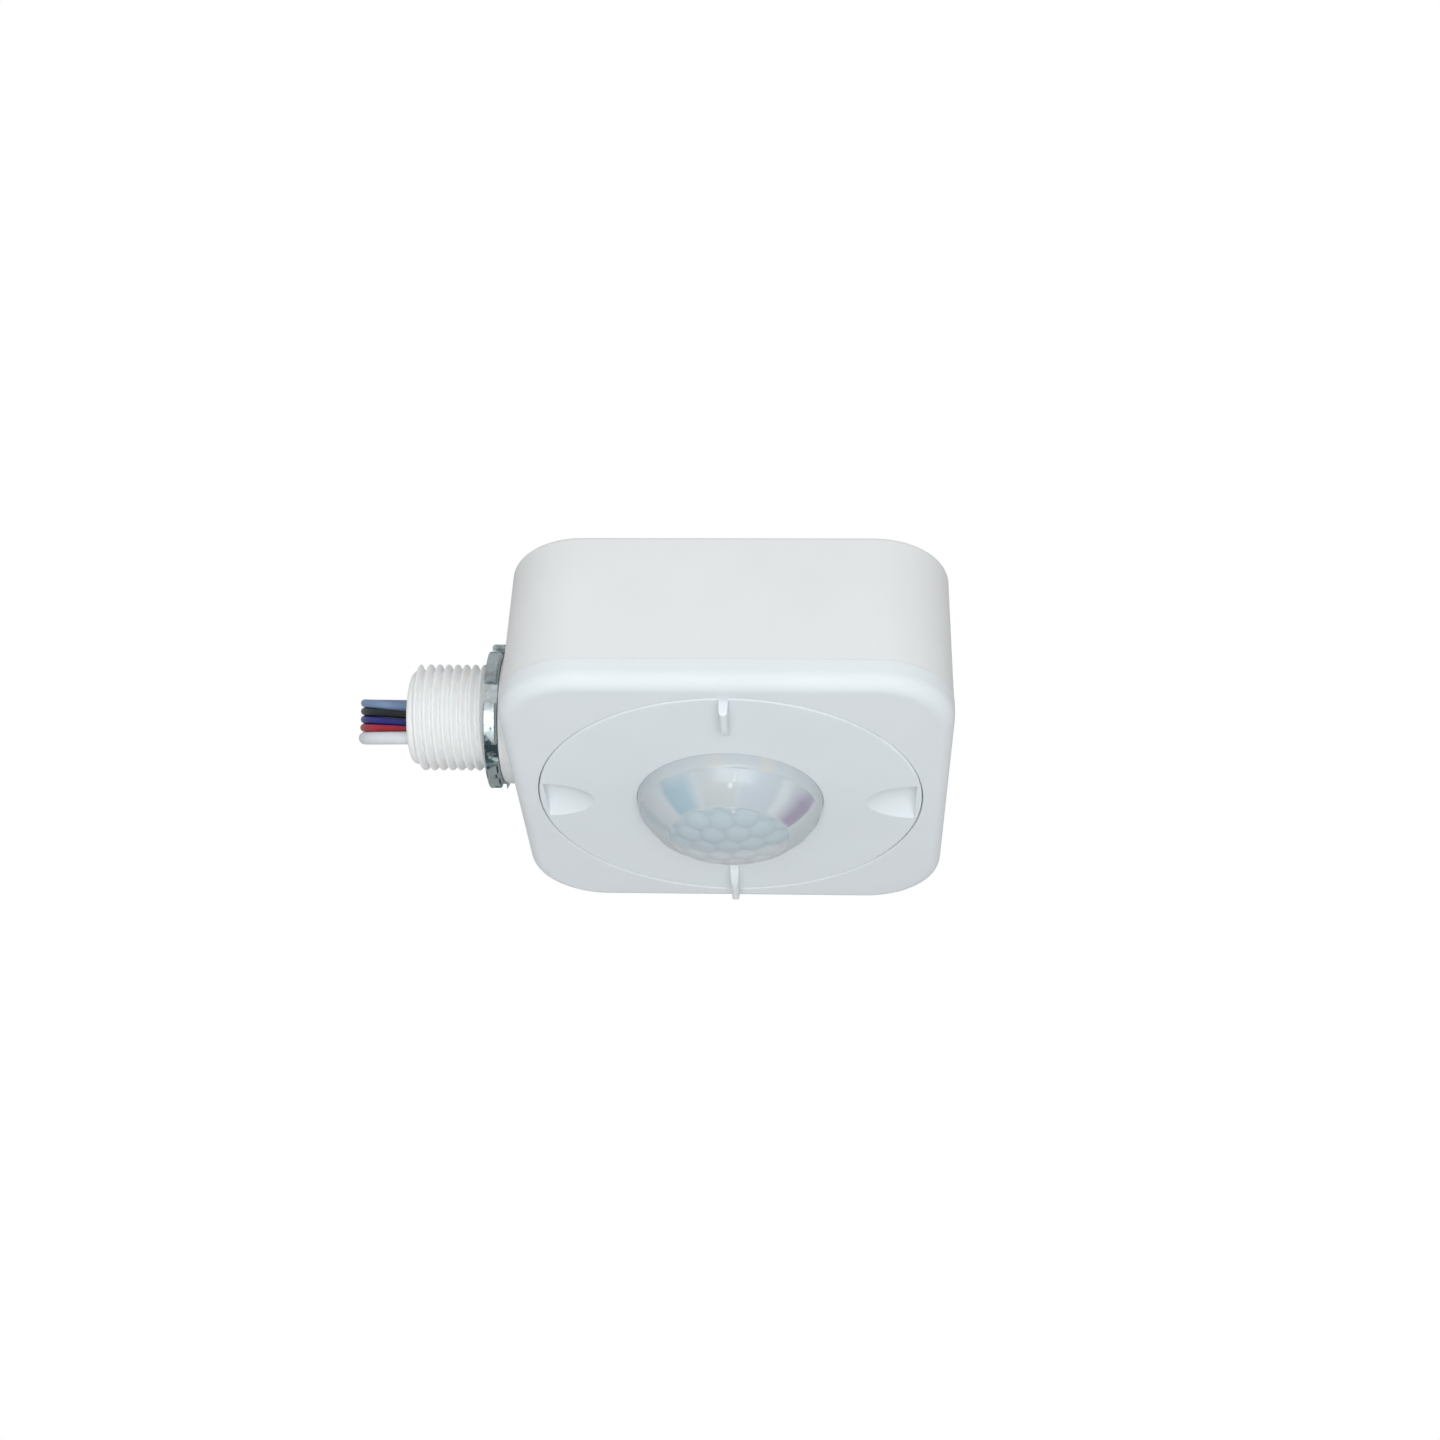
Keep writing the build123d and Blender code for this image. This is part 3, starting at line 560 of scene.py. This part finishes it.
# ---------------------------------------------------------------- materials of the CAD pieces
NIPPLE_END = (-0.0002, 0.0003)    # metres of X over which the nipple becomes the body
ZINC_PAINTED_REFLECTION_STOPS = (
    # painted reflections and shade, from faces that look down to faces that look up
    (0.0, (0.48, 0.55, 0.56)), (0.065, (0.42, 0.48, 0.49)), (0.09, (0.05, 0.08, 0.09)),
    (0.16, (0.07, 0.10, 0.11)), (0.20, (0.52, 0.58, 0.59)), (0.36, (0.52, 0.57, 0.58)),
    (0.41, (0.36, 0.39, 0.40)), (0.52, (0.36, 0.40, 0.41)), (0.62, (0.56, 0.64, 0.66)),
    (0.95, (0.42, 0.48, 0.50)),
)
# painted shadow at the tip of the nut's upper front tab, out along this way
PAINTED_SHADOW_WAY = (0.0, -0.57, 0.82)
PAINTED_SHADOW_REACH = (0.0130, 0.0136)    # metres from the nut's axis along that way


def nipple_shell():
    """The housing's plastic, with a painted highlight: the nipple is painted lighter than the
    body and has no colour drift.
    """
    material, tree, shader = new_material("housing_white")
    vector = object_coordinates(tree)
    drift = remap(tree, noise(tree, vector, 45.0, 3.0), 0.35, 0.65, 0.0, 1.0)
    textured = mix_colors(tree, drift, (0.80, 0.80, 0.795), (0.78, 0.78, 0.775))
    x = axis(tree, vector, "X")
    on_body = remap(tree, x, *NIPPLE_END, 0.0, 1.0)
    # painted highlight: the nipple's colour is lighter than the body's
    tree.links.new(mix_colors(tree, on_body, (0.87, 0.87, 0.865), textured),
                   shader.inputs["Base Color"])
    tree.links.new(remap(tree, noise(tree, vector, 300.0, 4.0), 0.3, 0.7, 0.5, 0.6),
                   shader.inputs["Roughness"])
    bump(tree, shader, [(noise(tree, vector, 90.0, 2.0), 0.15, 0.00006),
                        (noise(tree, vector, 10000.0, 2.0), 0.4, 0.00001)])
    shader.inputs["Specular IOR Level"].default_value = 0.35
    tree.links.new(remap(tree, x, *NIPPLE_END, 0.7, 0.1), shader.inputs["Subsurface Weight"])
    scatter(shader, (0.8, 0.9, 1.0), 0.002)
    return material


def zinc_plate():
    """Zinc plating with streaks of blue-gray passivation, and painted reflections and shade by
    the way each face looks:
    painted shade on the nut's lower notches and a painted shadow at the tip of its upper front
    tab."""
    material, tree, shader = new_material("zinc_plate")
    place = tree.nodes.new("ShaderNodeTexCoord")
    vector = place.outputs["Object"]
    # painted reflections and shade: the colour follows which way each face looks
    painted_facing = remap(tree, axis(tree, place.outputs["Normal"], "Z"), -1.0, 1.0, 0.0, 0.9)
    streak = remap(tree, noise(tree, vector, 500.0, 3.0), 0.3, 0.7, 0.0, 0.1)
    total = tree.nodes.new("ShaderNodeMath")
    tree.links.new(painted_facing, total.inputs[0])
    tree.links.new(streak, total.inputs[1])
    plating_and_painted_reflection = color_ramp(tree, total.outputs["Value"], ZINC_PAINTED_REFLECTION_STOPS)
    reach = tree.nodes.new("ShaderNodeVectorMath")
    reach.operation = "DOT_PRODUCT"
    reach.inputs[1].default_value = PAINTED_SHADOW_WAY
    tree.links.new(vector, reach.inputs[0])
    # painted shadow: near black beyond this reach along that way
    painted_shadow = remap(tree, reach.outputs["Value"], *PAINTED_SHADOW_REACH, 0.0, 0.82)
    tree.links.new(mix_colors(tree, painted_shadow, plating_and_painted_reflection, (0.022, 0.03, 0.03)),
                   shader.inputs["Base Color"])
    tree.links.new(remap(tree, noise(tree, vector, 900.0, 4.0), 0.3, 0.7, 0.16, 0.42),
                   shader.inputs["Roughness"])
    bump(tree, shader, [(noise(tree, vector, 400.0, 3.0), 0.25, 0.0001),
                        (noise(tree, vector, 4000.0, 3.0), 0.3, 0.00003)])
    shader.inputs["Metallic"].default_value = 1.0
    return material


SHELL = moulded("shell_white", (0.79, 0.82, 0.84), (0.77, 0.80, 0.82), roughness=(0.55, 0.65),
                glow=0.08, specular=0.3)
BEZEL = moulded("bezel_white", (0.80, 0.835, 0.855), (0.78, 0.815, 0.835), roughness=(0.45, 0.55),
                glow=0.08, specular=0.4)
HOUSING = nipple_shell()
ZINC = zinc_plate()
STEEL = metal("screw_steel_finish", (0.55, 0.56, 0.57), (0.40, 0.41, 0.42))
RUBBER = moulded("rubber_finish", (0.020, 0.020, 0.020), (0.032, 0.032, 0.032),
                 roughness=(0.6, 0.8), grain=0.2)
NYLON = moulded("washer_finish", (0.92, 0.94, 0.95), (0.84, 0.87, 0.88), glow=0.3)
BLACK = moulded("black_moulding", (0.018, 0.018, 0.020), (0.03, 0.03, 0.032),
                roughness=(0.4, 0.55))
BOARD = moulded("solder_mask", (0.015, 0.16, 0.06), (0.02, 0.20, 0.08), roughness=(0.2, 0.3))
FINISHES = {
    "white_plastic": SHELL,
    "black_rubber": RUBBER,
    "washer_nylon": NYLON,
    "zinc_steel": ZINC,
    "screw_steel": STEEL,
    "board_green": BOARD,
    "can_steel": metal("sensor_can", (0.70, 0.68, 0.64), (0.55, 0.53, 0.50)),
    "filter_glass": moulded("infrared_filter", (0.03, 0.025, 0.04), (0.05, 0.04, 0.06),
                            roughness=(0.08, 0.15)),
    "photocell_plastic": moulded("photocell_lacquer", (0.60, 0.32, 0.14), (0.50, 0.25, 0.1),
                                 roughness=(0.15, 0.25)),
    "led_plastic": moulded("led_epoxy", (0.55, 0.05, 0.04), (0.45, 0.04, 0.03),
                           roughness=(0.1, 0.2), glow=0.3),
    "dip_red": moulded("switch_red", (0.50, 0.02, 0.02), (0.40, 0.015, 0.015)),
    "slider_white": moulded("slider_finish", (0.80, 0.80, 0.77), (0.70, 0.70, 0.68)),
    "trimmer_blue": moulded("trimmer_finish", (0.02, 0.10, 0.42), (0.02, 0.08, 0.34)),
    "black_plastic": BLACK,
    "pin_brass": metal("gilt_pins", (0.80, 0.60, 0.28), (0.66, 0.48, 0.20)),
    "film_yellow": moulded("film_box", (0.62, 0.42, 0.03), (0.55, 0.36, 0.02)),
    "can_sleeve": moulded("shrink_sleeve", (0.012, 0.03, 0.08), (0.02, 0.04, 0.10),
                          roughness=(0.2, 0.35)),
    "ferrite": moulded("ferrite_finish", (0.05, 0.05, 0.055), (0.035, 0.035, 0.04),
                       roughness=(0.6, 0.8)),
    "copper": metal("enamelled_copper", (0.58, 0.24, 0.10), (0.45, 0.17, 0.07)),
    "varistor_blue": moulded("varistor_lacquer", (0.02, 0.10, 0.34), (0.02, 0.08, 0.28)),
    "fuse_ceramic": moulded("fuse_glaze", (0.66, 0.63, 0.55), (0.58, 0.55, 0.48),
                            roughness=(0.2, 0.3)),
    "potting": moulded("potting_resin", (0.03, 0.03, 0.035), (0.045, 0.045, 0.05),
                       roughness=(0.3, 0.5)),
    "wire_black": insulation("pvc_tails", *LEAD_COLORS["black"]),
    "tinned_copper": metal("tinned_strands", (0.62, 0.60, 0.57), (0.48, 0.46, 0.44)),
}


def finish_nodes():
    for entry in frame["record"]["subparts"]:
        node, slot = entry["node"], entry["material_slot"]
        finish = {"lens_bezel": BEZEL, "rear_housing": HOUSING}.get(node, FINISHES.get(slot))
        if finish is None:    # replaced by a cord or by the lens built above
            continue
        for material_slot in nodes[node].material_slots:
            material_slot.material = finish


finish_nodes()
